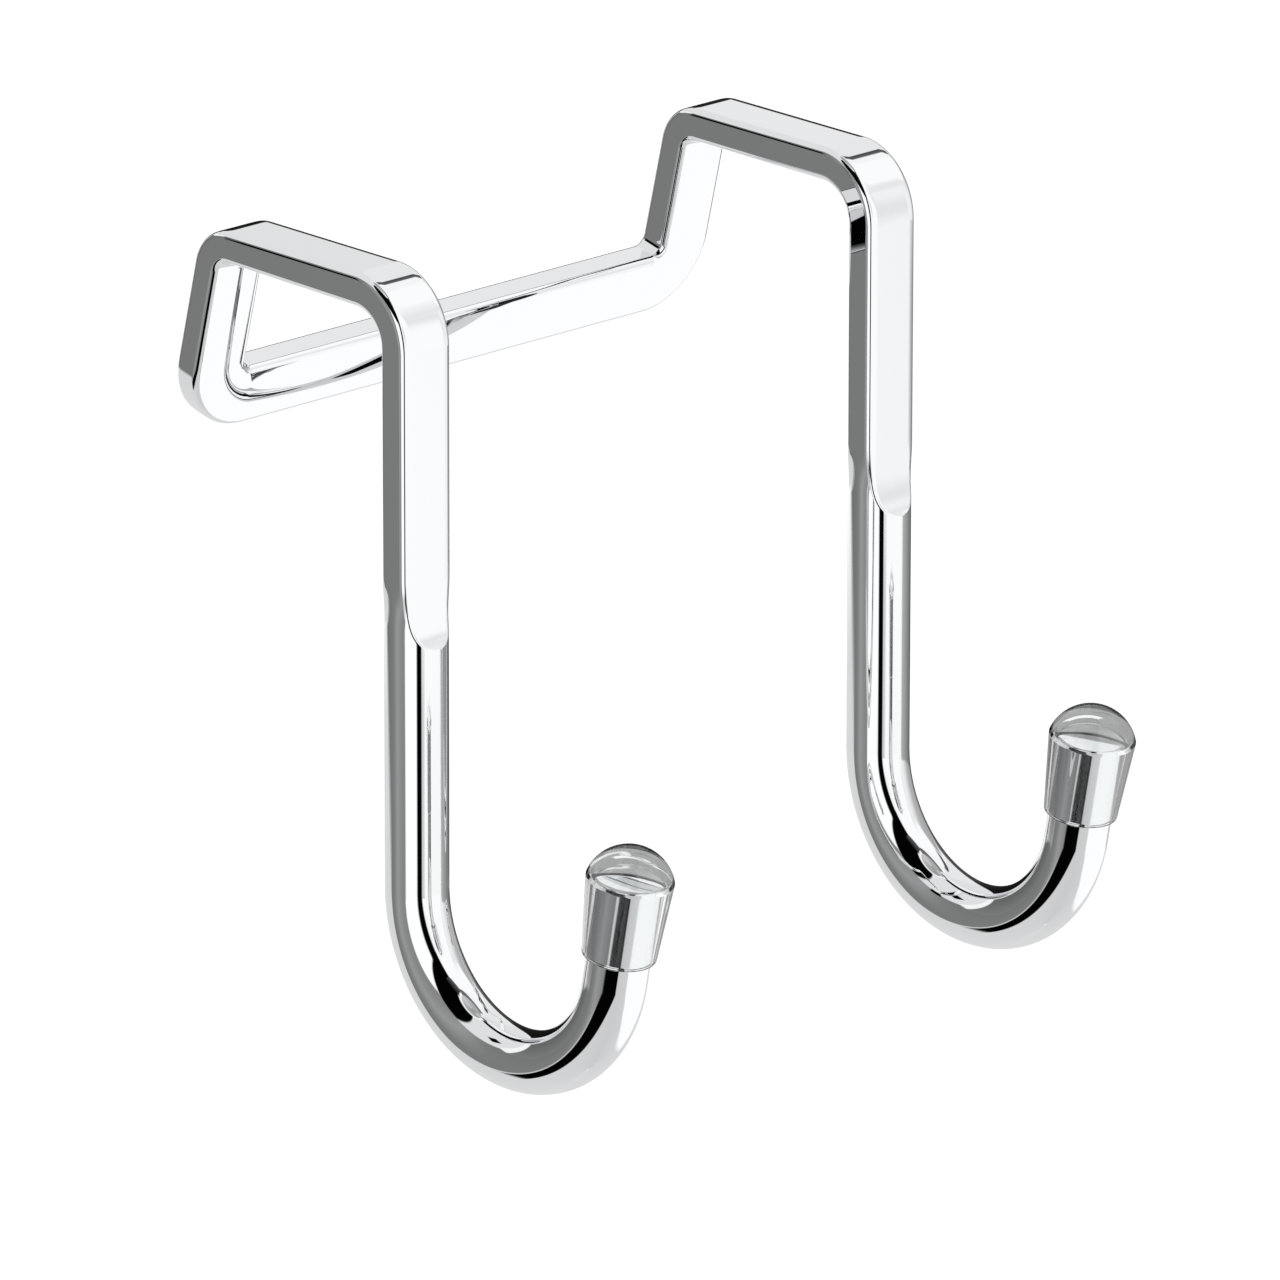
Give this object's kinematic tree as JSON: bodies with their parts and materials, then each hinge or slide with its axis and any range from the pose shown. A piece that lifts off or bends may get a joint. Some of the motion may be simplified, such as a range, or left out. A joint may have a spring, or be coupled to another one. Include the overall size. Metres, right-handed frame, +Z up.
{
  "type": "over door hook",
  "caption": "Over-door double hook bent from one chrome-plated steel wire, with straps over the door's top edge, a crossbar behind it and J hooks with clear tip caps.",
  "frame": {"origin": "on the underside of the left strap, midway along its depth, where it rests on the door's top edge", "axes": "+Z up, +X from the left bracket to the right one as seen from the front, -Y out of the door's front face towards the hooks"},
  "size_m": [0.0658, 0.0619, 0.0729],
  "materials": {
    "chrome_plated_steel": "bright chrome plating on drawn steel wire, polished to a mirror",
    "clear_vinyl": "clear soft vinyl, smooth and glossy"
  },
  "bodies": {
    "root": {"wire_frame": "chrome_plated_steel", "tip_cap_left": "clear_vinyl", "tip_cap_right": "clear_vinyl"}
  },
  "joints": []
}
